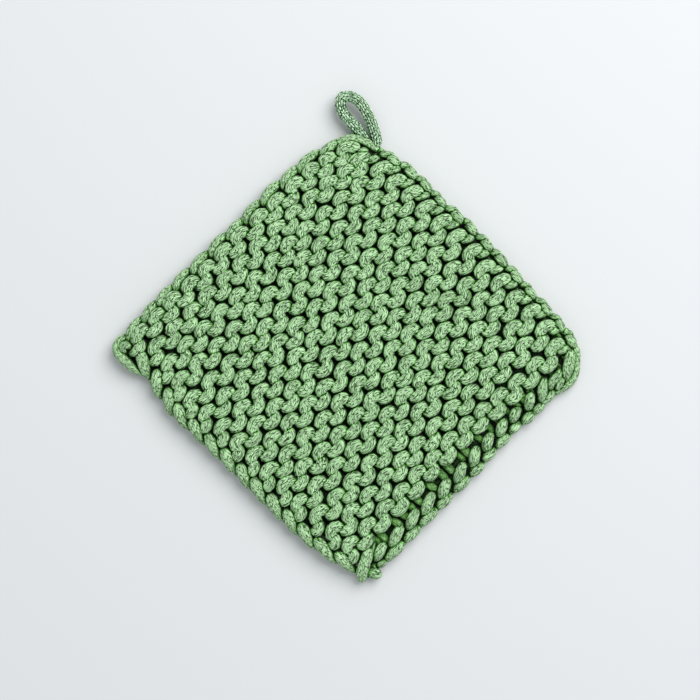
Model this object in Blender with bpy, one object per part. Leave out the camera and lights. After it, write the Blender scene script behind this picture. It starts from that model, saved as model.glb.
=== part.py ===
"""Knitted pot holder: a chunky garter-stitch square of soft cotton cord with a hanging loop.

The square lies flat.  X runs along the knitted ridges, Y runs up the fabric and Z is its
thickness.  The origin is under the middle of the square, on the surface that it lies on.
All sizes are in metres.
"""
import math

import bmesh
import bpy
from mathutils import Vector

MM = 0.001

# Gauge and size of the knit
STITCHES = 13                    # whole stitches that show in each ridge
RIDGES = 15                      # garter ridges, two knitted courses each
STITCH_PITCH = 14.5 * MM
RIDGE_PITCH = 12.36 * MM
THICKNESS = 13.0 * MM            # two cords, one over the other
STITCH_SHIFT = 2.2 * MM          # the middle stitch stands this far right of the middle
TOP_RIDGE_Y = 95.2 * MM          # line of the uppermost ridge's heads
HALF_WIDTH = 101.0 * MM          # the plain square before its edges wander
HALF_LENGTH = 102.5 * MM

# Side wall, from the upper rim down to the flat underside
RIM_DROP = 4.6 * MM              # the upper rim lies this far below the crests
WALL_HEIGHT = 5.5 * MM           # height at which the wall stands out furthest
WALL_SWELL = 0.9 * MM            # how far it stands out past the rim
UNDERSIDE_INSET = 2.6 * MM       # how far the flat underside keeps in from the rim

# Underside: a flat band under each upper groove, and a groove under each upper ridge
BAND_DROP = 9.6 * MM             # from a ridge's heads down to the middle of its band
BAND_HALF = 2.6 * MM
BACK_GROOVE_RISE = 4.0 * MM
UNDERSIDE_COLUMN_STEP = 8        # the underside keeps every eighth column of the face

# One ridge in five lines of points.  "down" is how far a line lies below the ridge's heads
# and "deep" how far below the crests, in mm: each at the middle of a stitch, a quarter
# stitch to its side, and half way to the next stitch.
RIDGE_LINES = (
    # line, down, deep
    ("head upper", (-1.7, -0.6, 1.2), (0.5, 0.8, 3.9)),
    ("head lower", (1.0, 1.6, 2.7), (0.0, 0.2, 3.4)),
    ("join", (3.6, 3.7, 4.2), (3.0, 1.1, 1.5)),
    ("base", (5.9, 5.8, 7.0), (3.8, 0.4, 0.0)),
    ("groove", (8.6, 9.2, 10.4), (4.6, 4.7, 4.4)),
)

# Cast-on edge above the first ridge and bind-off edge below the last one, in mm
CAST_ON_LINES = (
    # line, y, deep
    ("rim", 102.5, (5.0, 4.4, 5.6)),
    ("loops", 100.4, (2.2, 1.6, 3.4)),
    ("furrow", 98.3, (3.4, 2.8, 3.8)),
)
BIND_OFF_LINES = (
    # line, y, deep
    ("furrow", -90.0, (4.8, 4.6, 4.4)),
    ("pills upper", -92.4, (3.2, 1.0, 0.6)),
    ("pills lower", -95.6, (2.2, 0.4, 0.2)),
    ("crease", -98.0, (1.6, 1.6, 2.8)),
    ("bumps", -100.2, (2.2, 2.8, 3.6)),
    ("rim", -102.5, (5.0, 5.2, 5.8)),
)

# Chain of slipped stitches up each side: one slanting link for each ridge.  "deep" goes
# through the five lines of a ridge, in mm.
LEFT_CHAIN_COLUMNS = (
    # x, deep
    (-101.0, (4.6, 4.4, 4.4, 5.6, 5.4)),
    (-98.4, (1.5, 1.1, 1.5, 3.4, 2.4)),
    (-95.2, (2.8, 1.4, 1.2, 1.6, 3.6)),
)
RIGHT_CHAIN_COLUMNS = (
    # x, deep
    (98.9, (2.2, 1.6, 2.2, 3.4, 2.8)),
    (101.0, (4.6, 4.4, 5.0, 5.8, 5.2)),
)

# Where the four edges really run, in mm
LEFT_EDGE = (
    # y, x
    (-102.5, -85.0), (-94.0, -88.8), (-76.0, -93.3), (-57.0, -97.3), (-6.0, -99.3),
    (30.0, -101.0), (45.0, -102.0), (59.0, -99.6), (73.0, -97.2), (82.0, -101.2),
    (92.0, -102.0), (102.5, -97.5),
)
RIGHT_EDGE = (
    # y, x
    (-102.5, 89.0), (-91.0, 97.0), (-67.0, 101.0), (-45.0, 101.6), (0.0, 101.0),
    (37.0, 100.0), (61.0, 98.4), (79.0, 94.6), (90.0, 91.0), (102.5, 88.5),
)
LOWER_EDGE = (
    # x, y
    (-101.0, -101.5), (-92.0, -105.5), (-80.0, -104.8), (-62.0, -103.3), (-26.0, -101.7),
    (50.0, -100.0), (80.0, -101.5), (92.0, -100.5), (101.0, -94.5),
)
UPPER_EDGE = (
    # x, y
    (-101.0, 98.0), (-88.0, 101.0), (-66.0, 102.8), (50.0, 102.6), (66.0, 100.4),
    (82.0, 96.4), (92.0, 91.5), (101.0, 86.0),
)
EDGE_HOLD = 6                    # how quickly an edge's wandering dies out inside the square

# How far the ridges bow up or droop along their run, in mm
RIDGE_SWAY = (
    # x, sway near the cast-on edge, sway near the bind-off edge
    (-101.0, -1.6, -1.6), (-45.0, 0.2, 0.2), (10.0, 2.6, 1.2), (55.0, 0.8, 0.4),
    (101.0, -3.6, -3.4),
)

# Hanging loop: a knitted cord, both ends sewn into the edge at one corner
LOOP_CORD = 5.8 * MM
LOOP_ROUTE = (
    # x, y, z in mm, from one end round to the other
    (89.2, 83.5, 6.4), (90.0, 87.5, 6.6), (90.4, 93.0, 7.0), (90.3, 99.0, 7.6),
    (91.6, 106.0, 8.3), (96.3, 110.6, 8.7), (101.2, 106.8, 8.6), (102.5, 100.8, 8.1),
    (101.0, 93.6, 7.5), (98.5, 87.4, 7.0), (95.6, 81.8, 6.6), (91.8, 76.8, 6.4),
)
LOOP_STEPS = 3                   # points along the cord for each point of its route
SEWN_GAP = 0.35 * MM             # between the loop's ends and the wall that they meet
CUTTER_MARGIN = 2.0 * MM         # how far the loop's cutter reaches past the fabric

COTTON_COLOUR = (0.235, 0.378, 0.205)
LOOP_COLOUR = (0.255, 0.405, 0.235)
COTTON_ROUGHNESS = 0.92


def clear_scene():
    for obj in list(bpy.data.objects):
        bpy.data.objects.remove(obj, do_unlink=True)


def make_material(name, colour, roughness):
    material = bpy.data.materials.new(name)
    material.use_nodes = True
    shader = material.node_tree.nodes["Principled BSDF"]
    shader.inputs["Base Color"].default_value = (*colour, 1.0)
    shader.inputs["Roughness"].default_value = roughness
    shader.inputs["Metallic"].default_value = 0.0
    return material


def read_table(table, place, column=1):
    """Value of a table's column at a place given in metres, eased between its rows."""
    place = place / MM
    if place <= table[0][0]:
        return table[0][column] * MM
    for low, high in zip(table, table[1:]):
        if place <= high[0]:
            part = (place - low[0]) / (high[0] - low[0])
            part = part * part * (3.0 - 2.0 * part)
            return (low[column] + (high[column] - low[column]) * part) * MM
    return table[-1][column] * MM


def settle(x, y):
    """Move a point of the plain square to where the limp, hand-knitted one really has it."""
    left = (0.5 - 0.5 * x / HALF_WIDTH) ** EDGE_HOLD
    right = (0.5 + 0.5 * x / HALF_WIDTH) ** EDGE_HOLD
    lower = (0.5 - 0.5 * y / HALF_LENGTH) ** EDGE_HOLD
    upper = (0.5 + 0.5 * y / HALF_LENGTH) ** EDGE_HOLD
    move_x = left * (read_table(LEFT_EDGE, y) + HALF_WIDTH)
    move_x += right * (read_table(RIGHT_EDGE, y) - HALF_WIDTH)
    move_y = lower * (read_table(LOWER_EDGE, x) + HALF_LENGTH)
    move_y += upper * (read_table(UPPER_EDGE, x) - HALF_LENGTH)
    height = 0.5 + 0.5 * y / HALF_LENGTH
    sway = height * read_table(RIDGE_SWAY, x, 1) + (1.0 - height) * read_table(RIDGE_SWAY, x, 2)
    inner = (1.0 - lower) * (1.0 - upper)
    return x + move_x, y + move_y + sway * inner


def face_columns():
    """Columns of the upper face: (x, phase in the stitch, depths of a chain link or None)."""
    columns = [(x * MM, 2, deep) for x, deep in LEFT_CHAIN_COLUMNS]
    first = STITCH_SHIFT - (STITCHES / 2) * STITCH_PITCH
    for step in range(4 * STITCHES + 1):
        phase = (2, 1, 0, 1)[step % 4]
        columns.append((first + step * STITCH_PITCH / 4, phase, None))
    columns += [(x * MM, 2, deep) for x, deep in RIGHT_CHAIN_COLUMNS]
    return columns


def ridge_y(ridge):
    return TOP_RIDGE_Y - ridge * RIDGE_PITCH


def face_points():
    """Rows of points of the upper face, from the cast-on rim to the bind-off rim."""
    columns = face_columns()
    last = len(columns) - 1

    def edge_row(y, deep):
        row = []
        for number, (x, phase, _) in enumerate(columns):
            drop = deep[phase] * MM
            if number in (0, last):
                drop = max(drop, RIM_DROP)
            row.append((*settle(x, y), THICKNESS - drop))
        return row

    rows = [edge_row(y * MM, deep) for _, y, deep in CAST_ON_LINES]
    for ridge in range(RIDGES):
        for line, (_, down, deep) in enumerate(RIDGE_LINES):
            row = []
            for x, phase, chain in columns:
                drop = (chain[line] if chain else deep[phase]) * MM
                place = settle(x, ridge_y(ridge) - down[phase] * MM)
                row.append((*place, THICKNESS - drop))
            rows.append(row)
    rows += [edge_row(y * MM, deep) for _, y, deep in BIND_OFF_LINES]
    return rows


def underside_points(columns):
    """Rows of points of the underside: flat bands at z 0 with grooves between them."""
    lines = [(HALF_LENGTH - UNDERSIDE_INSET, 0.0)]
    for ridge in range(RIDGES):
        band = ridge_y(ridge) - BAND_DROP
        lines.append((band + RIDGE_PITCH / 2, BACK_GROOVE_RISE))
        lines.append((band + BAND_HALF, 0.0))
        lines.append((band - BAND_HALF, 0.0))
    lines.append((band - RIDGE_PITCH / 2, BACK_GROOVE_RISE))
    lines.append((-HALF_LENGTH + 2 * UNDERSIDE_INSET, 0.0))
    lines.append((-HALF_LENGTH + UNDERSIDE_INSET, 0.0))
    inner = (HALF_WIDTH - UNDERSIDE_INSET) / HALF_WIDTH
    rows = []
    for y, z in lines:
        row = []
        for place, x in enumerate(columns):
            on_rim = place in (0, len(columns) - 1)
            row.append((*settle(x * inner, y), 0.0 if on_rim else z))
        rows.append(row)
    return rows


def rim_of(rows):
    """The border of a grid of rows, once round, anticlockwise seen from above."""
    rim = [row[0] for row in rows]
    rim += rows[-1][1:]
    rim += [row[-1] for row in reversed(rows[:-1])]
    rim += list(reversed(rows[0][1:-1]))
    return rim


def along_ring(ring):
    """How far each vertex of a ring lies along it, from 0 to 1, closed at the end."""
    steps = [(b.co - a.co).xy.length for a, b in zip(ring, ring[1:] + ring[:1])]
    total = sum(steps)
    places = [0.0]
    for step in steps:
        places.append(places[-1] + step / total)
    return places


def join_rings(bm, outer, inner):
    """Close the wall between two rings with unlike numbers of points."""
    outer_places = along_ring(outer)
    inner_places = along_ring(inner)
    a = b = 0
    while a < len(outer) or b < len(inner):
        va = outer[a % len(outer)]
        vb = inner[b % len(inner)]
        step_outer = b >= len(inner) or (
            a < len(outer) and outer_places[a + 1] <= inner_places[b + 1])
        if step_outer:
            a += 1
            bm.faces.new((va, vb, outer[a % len(outer)]))
        else:
            b += 1
            bm.faces.new((va, vb, inner[b % len(inner)]))


def add_grid(bm, points, upward):
    rows = [[bm.verts.new(point) for point in row] for row in points]
    for upper, lower in zip(rows, rows[1:]):
        for k in range(len(upper) - 1):
            corners = (upper[k], lower[k], lower[k + 1], upper[k + 1])
            bm.faces.new(corners if upward else corners[::-1])
    return rows


def outset(rim, distance, z):
    """A ring of points straight out from a rim of points, at one height."""
    points = []
    count = len(rim)
    for k, place in enumerate(rim):
        run = Vector(rim[(k + 1) % count]) - Vector(rim[k - 1])
        out = Vector((run.y, -run.x, 0.0)).normalized() * distance
        points.append((place[0] + out.x, place[1] + out.y, z))
    return points


def make_square(collection, material, points):
    bm = bmesh.new()
    face = add_grid(bm, points, upward=True)
    kept = face_columns()[::UNDERSIDE_COLUMN_STEP]
    columns = [x for x, _, _ in kept]
    columns[-1] = HALF_WIDTH
    underside = add_grid(bm, underside_points(columns), upward=False)
    rim = rim_of(face)
    swell = outset([vert.co for vert in rim], WALL_SWELL, WALL_HEIGHT)
    wall = [bm.verts.new(point) for point in swell]
    count = len(rim)
    for k in range(count):
        after = (k + 1) % count
        bm.faces.new((rim[k], wall[k], wall[after], rim[after]))
    join_rings(bm, wall, rim_of(underside))
    bmesh.ops.triangulate(bm, faces=bm.faces[:])
    mesh = bpy.data.meshes.new("knitted_square")
    bm.to_mesh(mesh)
    bm.free()
    mesh.shade_smooth()
    square = bpy.data.objects.new("knitted_square", mesh)
    square.data.materials.append(material)
    collection.objects.link(square)


def make_cutter(collection, points):
    """The square's own outline, a sewing gap larger, as a tall block."""
    rim = rim_of(points)
    bm = bmesh.new()
    reach = WALL_SWELL + SEWN_GAP
    lower = [bm.verts.new(point) for point in outset(rim, reach, -CUTTER_MARGIN)]
    upper = [bm.verts.new(point) for point in outset(rim, reach, THICKNESS + CUTTER_MARGIN)]
    count = len(rim)
    for k in range(count):
        after = (k + 1) % count
        bm.faces.new((lower[k], lower[after], upper[after], upper[k]))
    bm.faces.new(reversed(lower))
    bm.faces.new(upper)
    mesh = bpy.data.meshes.new("edge_cutter")
    bm.to_mesh(mesh)
    bm.free()
    cutter = bpy.data.objects.new("edge_cutter", mesh)
    cutter.display_type = "WIRE"
    cutter.hide_render = True
    collection.objects.link(cutter)
    return cutter


def smooth_route(route, steps):
    """Points of a smooth curve through a cord's route (Catmull-Rom)."""
    places = [Vector(point) * MM for point in route]
    places = [2 * places[0] - places[1]] + places + [2 * places[-1] - places[-2]]
    points = []
    for k in range(1, len(places) - 2):
        p0, p1, p2, p3 = places[k - 1:k + 3]
        for step in range(steps):
            t = step / steps
            points.append(0.5 * (2 * p1 + (p2 - p0) * t
                                 + (2 * p0 - 5 * p1 + 4 * p2 - p3) * t ** 2
                                 + (3 * p1 - p0 - 3 * p2 + p3) * t ** 3))
    points.append(places[-2])
    return points


def make_loop(collection, material, cutter):
    curve = bpy.data.curves.new("loop_cord", "CURVE")
    curve.dimensions = "3D"
    curve.bevel_depth = LOOP_CORD / 2
    curve.bevel_resolution = 3
    curve.use_fill_caps = True
    spline = curve.splines.new("POLY")
    points = smooth_route(LOOP_ROUTE, LOOP_STEPS)
    spline.points.add(len(points) - 1)
    for spot, place in zip(spline.points, points):
        spot.co = (*place, 1.0)
    cord = bpy.data.objects.new("loop_cord", curve)
    collection.objects.link(cord)
    depsgraph = bpy.context.evaluated_depsgraph_get()
    mesh = bpy.data.meshes.new_from_object(cord.evaluated_get(depsgraph))
    bm = bmesh.new()
    bm.from_mesh(mesh)
    bmesh.ops.remove_doubles(bm, verts=bm.verts, dist=0.01 * MM)
    bm.to_mesh(mesh)
    bm.free()
    mesh.shade_smooth()
    loop = bpy.data.objects.new("hanging_loop", mesh)
    loop.matrix_world = cord.matrix_world
    bpy.data.objects.remove(cord, do_unlink=True)
    loop.data.materials.clear()
    loop.data.materials.append(material)
    collection.objects.link(loop)
    trim = loop.modifiers.new("trim_to_edge", "BOOLEAN")
    trim.operation = "DIFFERENCE"
    trim.solver = "EXACT"
    trim.object = cutter


def main():
    clear_scene()
    holder = bpy.data.collections.new("pot_holder")
    cutters = bpy.data.collections.new("cutters")
    bpy.context.scene.collection.children.link(holder)
    bpy.context.scene.collection.children.link(cutters)
    points = face_points()
    make_square(holder, make_material("knit_cotton", COTTON_COLOUR, COTTON_ROUGHNESS), points)
    cutter = make_cutter(cutters, points)
    make_loop(holder, make_material("loop_cotton", LOOP_COLOUR, COTTON_ROUGHNESS), cutter)


main()
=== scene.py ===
import math
import random
from functools import partial

import bmesh
import bpy
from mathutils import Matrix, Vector


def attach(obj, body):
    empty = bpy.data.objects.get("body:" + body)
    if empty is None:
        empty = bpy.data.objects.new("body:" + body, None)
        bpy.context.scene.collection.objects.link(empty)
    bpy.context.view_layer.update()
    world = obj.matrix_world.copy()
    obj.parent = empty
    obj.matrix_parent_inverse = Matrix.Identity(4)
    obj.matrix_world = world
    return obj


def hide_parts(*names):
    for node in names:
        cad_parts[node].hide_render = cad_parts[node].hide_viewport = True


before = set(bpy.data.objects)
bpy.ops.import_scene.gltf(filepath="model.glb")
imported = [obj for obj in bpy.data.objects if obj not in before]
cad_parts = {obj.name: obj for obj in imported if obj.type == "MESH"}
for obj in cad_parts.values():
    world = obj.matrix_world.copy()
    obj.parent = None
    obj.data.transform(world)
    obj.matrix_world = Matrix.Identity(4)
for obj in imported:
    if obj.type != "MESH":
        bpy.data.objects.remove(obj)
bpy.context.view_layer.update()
mm = 0.001  # every size below is in millimetres, and becomes metres where a curve is made
print("frame loaded")


def metres(size):
    # whole numbers are counts, the others are sizes in millimetres
    return size if isinstance(size, int) else size * mm


# node trees: inputs are given by a socket's name or place, as a value or the socket that feeds it

def newSocket(tree, name, kind, inOut, value=None):
    socket = tree.interface.new_socket(name, in_out=inOut, socket_type=kind)
    if value is not None:
        socket.default_value = (*value, 1.0) if isinstance(value, tuple) else value


def addNode(tree, kind, inputs=None, **settings):
    node = tree.nodes.new(kind)
    for name, value in settings.items():
        setattr(node, name, value)
    for place, value in (inputs or {}).items():
        if isinstance(value, (int, float, str)):
            node.inputs[place].default_value = value
        elif isinstance(value, tuple):  # a colour
            node.inputs[place].default_value = (*value, 1.0)
        else:
            tree.links.new(value, node.inputs[place])
    return node


def mathNode(tree, operation, *values):
    return addNode(tree, "ShaderNodeMath", dict(enumerate(values)), operation=operation).outputs[0]


def mixNode(tree, amount, low, high, blend="MIX"):
    inputs = {0: amount, 6: low, 7: high}
    return addNode(tree, "ShaderNodeMix", inputs, data_type="RGBA", blend_type=blend).outputs[2]


def spreadNode(tree, value, low, high):
    inputs = {"Value": value, "From Min": low, "From Max": high}
    return addNode(tree, "ShaderNodeMapRange", inputs, interpolation_type="SMOOTHSTEP").outputs[0]


def noiseNode(tree, place, scale, detail):
    inputs = {"Vector": place, "Scale": scale, "Detail": detail}
    return addNode(tree, "ShaderNodeTexNoise", inputs).outputs["Fac"]


def placeNode(tree, x, y, z):
    return addNode(tree, "ShaderNodeCombineXYZ", {0: x, 1: y, 2: z}).outputs[0]


def scaleNode(tree, vector, amount):
    inputs = {0: vector, "Scale": amount}
    return addNode(tree, "ShaderNodeVectorMath", inputs, operation="SCALE").outputs[0]


# how the cotton looks
cottonLook = {
    "pale": (0.61, 0.945, 0.515),  # the strands that catch the light
    "deep": (0.036, 0.160, 0.010),  # painted shade in the grooves between the strands
    "fleck": (0.008, 0.038, 0.004),  # painted shade in small pits where strands part
    "strands": 6.4,  # how finely the strands divide the cord's girth
    "lay": 60.0,  # twist of the strands, radians per metre of cord
    "streak": 380.0,  # pieces of strand that show, per metre of cord
    "strandEdge": 0.14,  # share of a strand over which painted shade darkens it towards its edge
    "patchScale": 0.8,  # duller patches
    "patchDetail": 2.0,
    "patchFrom": 0.34,
    "patchTo": 0.62,
    "patchDepth": 0.24,
    "pitScale": 1.3,
    "pitDetail": 1.0,
    "pitFrom": 0.38,  # noise level above which a pit starts
    "pitTo": 0.50,
    "paintedShadeTint": (0.29, 0.63, 0.15),  # painted shade: where neighbours hide part of the sky the colour is darkened and made greener, as light that has passed from cord to cord is
    "paintedShadeFrom": 0.10,  # share of the sky hidden by neighbours where that starts
    "paintedShadeTo": 0.42,
    "paintedCreviceShadowTint": (0.003, 0.014, 0.001),  # painted shadow, near black, far in between two cords
    "paintedCreviceShadowFrom": 0.32,
    "paintedCreviceShadowTo": 0.57,
    "roughness": 0.92,
    "sheen": 0.04,
    "specular": 0.15,
    "bump": 0.9,
    "relief": 0.0006,  # metres
}
strandInputs = ("pale", "deep", "fleck", "strands", "lay", "streak")


def cottonStrandsGroup():
    # soft strands lying along a cord, from the cord's own roundCord and alongCord attributes, with
    # painted shade in the grooves between them and in small pits
    look = cottonLook
    group = bpy.data.node_groups.new("cottonStrands", "ShaderNodeTree")
    for name in strandInputs:
        kind = "NodeSocketColor" if isinstance(look[name], tuple) else "NodeSocketFloat"
        newSocket(group, name, kind, "INPUT", look[name])
    newSocket(group, "Color", "NodeSocketColor", "OUTPUT")
    newSocket(group, "Height", "NodeSocketFloat", "OUTPUT")
    calc = partial(mathNode, group)
    given = addNode(group, "NodeGroupInput").outputs
    girth = addNode(group, "ShaderNodeAttribute", attribute_name="roundCord").outputs["Vector"]
    run = addNode(group, "ShaderNodeAttribute", attribute_name="alongCord").outputs["Fac"]
    turn = addNode(group, "ShaderNodeVectorRotate", {
        "Vector": girth, "Angle": calc("MULTIPLY", run, given["lay"]),
    }, rotation_type="Z_AXIS")
    axes = addNode(group, "ShaderNodeSeparateXYZ", {0: turn.outputs[0]}).outputs
    place = placeNode(group, calc("MULTIPLY", axes[0], given["strands"]),
                      calc("MULTIPLY", axes[1], given["strands"]),
                      calc("MULTIPLY", run, given["streak"]))
    strand = addNode(group, "ShaderNodeTexVoronoi", {"Vector": place, "Scale": 1.0},
                     feature="DISTANCE_TO_EDGE")
    crown = spreadNode(group, strand.outputs["Distance"], 0.0, look["strandEdge"])
    patch = noiseNode(group, place, look["patchScale"], look["patchDetail"])
    patch = spreadNode(group, patch, look["patchFrom"], look["patchTo"])
    dull = calc("MULTIPLY_ADD", patch, look["patchDepth"], 1.0 - look["patchDepth"])
    # painted shade: the strand's colour falls from pale to deep towards its edges and in pits
    shade = calc("MULTIPLY", dull, crown)
    pits = noiseNode(group, place, look["pitScale"], look["pitDetail"])
    pits = spreadNode(group, pits, look["pitFrom"], look["pitTo"])
    pits = calc("MULTIPLY", pits, calc("SUBTRACT", 1.0, crown))
    body = mixNode(group, shade, given["deep"], given["pale"])
    addNode(group, "NodeGroupOutput", {
        "Color": mixNode(group, pits, body, given["fleck"]),
        "Height": calc("SUBTRACT", shade, pits),
    })
    return group


cottonStrands = cottonStrandsGroup()


def cottonMaterial(name, changes=None):
    look = {**cottonLook, **(changes or {})}
    material = bpy.data.materials.new(name)
    material.use_nodes = True
    tree = material.node_tree
    strands = addNode(tree, "ShaderNodeGroup", {label: look[label] for label in strandInputs},
                      node_tree=cottonStrands).outputs
    # painted shade: where neighbouring cords hide the sky, the colour is darkened and made greener,
    # and far in between cords darkened almost to black
    hidden = addNode(tree, "ShaderNodeAttribute", attribute_name="sheltered").outputs["Fac"]
    some = spreadNode(tree, hidden, look["paintedShadeFrom"], look["paintedShadeTo"])
    paintedGreenerShade = mixNode(tree, some, strands["Color"], look["paintedShadeTint"], "MULTIPLY")
    most = spreadNode(tree, hidden, look["paintedCreviceShadowFrom"], look["paintedCreviceShadowTo"])
    shaded = mixNode(tree, most, paintedGreenerShade, look["paintedCreviceShadowTint"])
    bump = addNode(tree, "ShaderNodeBump", {
        "Strength": look["bump"], "Distance": look["relief"], "Height": strands["Height"],
    })
    shader = tree.nodes["Principled BSDF"].inputs
    shader["Roughness"].default_value = look["roughness"]
    shader["Sheen Weight"].default_value = look["sheen"]
    shader["Specular IOR Level"].default_value = look["specular"]
    tree.links.new(shaded, shader["Base Color"])
    tree.links.new(bump.outputs[0], shader["Normal"])
    return material


squareCotton = cottonMaterial("knitCotton")
edgeCotton = cottonMaterial("edgeCotton")
# painted shade: a darker copy of the cotton for the loops that climb down into the bind-off chain
innerCotton = cottonMaterial("innerCotton", {
    "pale": (0.36, 0.68, 0.26), "deep": (0.05, 0.17, 0.025), "paintedShadeTint": (0.50, 0.80, 0.34),
    "paintedCreviceShadowFrom": 0.44, "paintedCreviceShadowTo": 0.82,
})
# painted shadow: a near-black copy of the cotton for the strands behind the bind-off chain
hiddenCotton = cottonMaterial("hiddenCotton", {
    "pale": (0.05, 0.14, 0.03), "deep": (0.01, 0.04, 0.005),
})
loopCotton = cottonMaterial("loopCotton", {
    "pale": (0.76, 1.0, 0.72), "deep": (0.085, 0.33, 0.075), "strands": 1.0, "streak": 500.0,
    "lay": 0.0, "paintedShadeTint": (0.33, 0.76, 0.34), "paintedShadeFrom": 0.12, "paintedShadeTo": 0.42,
    "paintedCreviceShadowTint": (0.005, 0.018, 0.006), "paintedCreviceShadowFrom": 0.27, "paintedCreviceShadowTo": 0.58,
})
print("materials made")


def geometryTree(name, sizes, others):
    # a new tree with its inputs, its own math function and what its input node gives
    tree = bpy.data.node_groups.new(name, "GeometryNodeTree")
    newSocket(tree, "Geometry", "NodeSocketGeometry", "INPUT")
    newSocket(tree, "Geometry", "NodeSocketGeometry", "OUTPUT")
    for label, size in sizes.items():
        kind = "NodeSocketInt" if isinstance(size, int) else "NodeSocketFloat"
        newSocket(tree, label, kind, "INPUT", metres(size))
    for label, kind in others.items():
        newSocket(tree, label, kind, "INPUT")
    return tree, partial(mathNode, tree), addNode(tree, "NodeGroupInput").outputs


def storeNode(tree, name, kind, geometry, value):
    inputs = {"Geometry": geometry, "Name": name, "Value": value}
    node = addNode(tree, "GeometryNodeStoreNamedAttribute", inputs, data_type=kind, domain="POINT")
    return node.outputs["Geometry"]


def endTree(tree, geometry, cotton):
    real = addNode(tree, "GeometryNodeRealizeInstances", {"Geometry": geometry})
    dressed = addNode(tree, "GeometryNodeSetMaterial", {
        "Geometry": real.outputs["Geometry"], "Material": cotton,
    })
    addNode(tree, "NodeGroupOutput", {"Geometry": dressed.outputs["Geometry"]})


def giveTree(obj, tree, values):
    modifier = obj.modifiers.new(tree.name, "NODES")
    modifier.node_group = tree
    for item in tree.interface.items_tree:
        if item.in_out == "INPUT" and item.name in values:
            modifier[item.identifier] = values[item.name]


# a soft cord swept along its path
cordBuild = {
    "Spacing": 1.15,  # mm between rings of the mesh
    "Sides": 16,
    "Wobble": 0.16,  # mm, uneven surface of a soft cord
    "Wobble Size": 2.6,  # mm
    "Flat From": 4.6,  # mm from the fabric's middle: past this a cord is pressed flat
    "Half Thick": 6.5,  # mm, half of the fabric
}
cordSteps = 8  # points of the smooth cord for each point of its path
strandStart = 4.0  # metres, the most by which one cord starts its strands further on than another
noiseGain = 4.0  # noise mostly keeps within a quarter of its middle
cordSeeds = {
    "knittedRidges1": 20, "knittedRidges2": 21, "knittedRidges3": 22, "sideEdges": 31,
    "castOnEdge": 32, "bindOffEdge": 33, "cornerStitches": 34, "bindOffLoops": 35,
    "bindOffBack": 36, "hangingLoopKnit": 41, "hangingLoopCore": 42,
}


def cordTree():
    tree, calc, given = geometryTree("cordAlongPath", cordBuild, {
        "Seed": "NodeSocketInt", "Cotton": "NodeSocketMaterial",
    })
    soft = addNode(tree, "GeometryNodeCurveSplineType", {"Curve": given["Geometry"]},
                   spline_type="CATMULL_ROM")
    finer = addNode(tree, "GeometryNodeSetSplineResolution", {
        "Geometry": soft.outputs["Curve"], "Resolution": cordSteps,
    })
    rings = addNode(tree, "GeometryNodeResampleCurve", {
        "Curve": finer.outputs["Geometry"], "Length": given["Spacing"],
    }, mode="LENGTH")

    # each cord starts its strands somewhere else
    numbered = addNode(tree, "GeometryNodeCaptureAttribute", domain="CURVE")
    numbered.capture_items.new("INT", "Cord")
    tree.links.new(rings.outputs["Curve"], numbered.inputs["Geometry"])
    tree.links.new(addNode(tree, "GeometryNodeInputIndex").outputs[0], numbered.inputs[1])
    start = addNode(tree, "FunctionNodeRandomValue", {
        2: 0.0, 3: strandStart, "ID": numbered.outputs[1], "Seed": given["Seed"],
    }, data_type="FLOAT")
    length = addNode(tree, "GeometryNodeSplineParameter").outputs["Length"]
    run = calc("ADD", length, start.outputs[1])
    guide = storeNode(tree, "alongCord", "FLOAT", numbered.outputs[0], run)

    circle = addNode(tree, "GeometryNodeCurvePrimitiveCircle", {
        "Radius": 1.0, "Resolution": given["Sides"],
    })
    place = addNode(tree, "GeometryNodeInputPosition").outputs[0]
    profile = storeNode(tree, "roundCord", "FLOAT_VECTOR", circle.outputs["Curve"], place)
    sweep = addNode(tree, "GeometryNodeCurveToMesh", {
        "Curve": guide, "Profile Curve": profile, "Fill Caps": True,
        "Scale": addNode(tree, "GeometryNodeInputRadius").outputs[0],
    })

    # soft, uneven surface
    noise = addNode(tree, "ShaderNodeTexNoise", {
        "Vector": place, "W": given["Seed"], "Detail": 1.0,
        "Scale": calc("DIVIDE", 1.0, given["Wobble Size"]),
    }, noise_dimensions="4D")
    swing = calc("MULTIPLY", calc("SUBTRACT", noise.outputs["Fac"], 0.5), noiseGain)
    outward = addNode(tree, "GeometryNodeInputNormal").outputs[0]
    uneven = addNode(tree, "GeometryNodeSetPosition", {
        "Geometry": sweep.outputs["Mesh"],
        "Offset": scaleNode(tree, outward, calc("MULTIPLY", swing, given["Wobble"])),
    })

    # press the cord flat where it would stand past the fabric's two faces
    axes = addNode(tree, "ShaderNodeSeparateXYZ", {0: place}).outputs
    fromMiddle = calc("SUBTRACT", axes[2], given["Half Thick"])
    away = calc("ABSOLUTE", fromMiddle)
    room = calc("SUBTRACT", given["Half Thick"], given["Flat From"])
    past = calc("MAXIMUM", calc("SUBTRACT", away, given["Flat From"]), 0.0)
    eased = calc("TANH", calc("DIVIDE", past, room))
    pressed = calc("MULTIPLY_ADD", eased, room, calc("MINIMUM", away, given["Flat From"]))
    signed = calc("MULTIPLY", pressed, calc("SIGN", fromMiddle))
    height = calc("ADD", signed, given["Half Thick"])
    flat = addNode(tree, "GeometryNodeSetPosition", {
        "Geometry": uneven.outputs["Geometry"],
        "Position": placeNode(tree, axes[0], axes[1], height),
    })
    smooth = addNode(tree, "GeometryNodeSetShadeSmooth", {"Geometry": flat.outputs["Geometry"]})
    endTree(tree, smooth.outputs["Geometry"], given["Cotton"])
    return tree


cordAlongPath = cordTree()


def pathLength(path):
    return sum((Vector(b[:3]) - Vector(a[:3])).length for a, b in zip(path, path[1:]))


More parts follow.
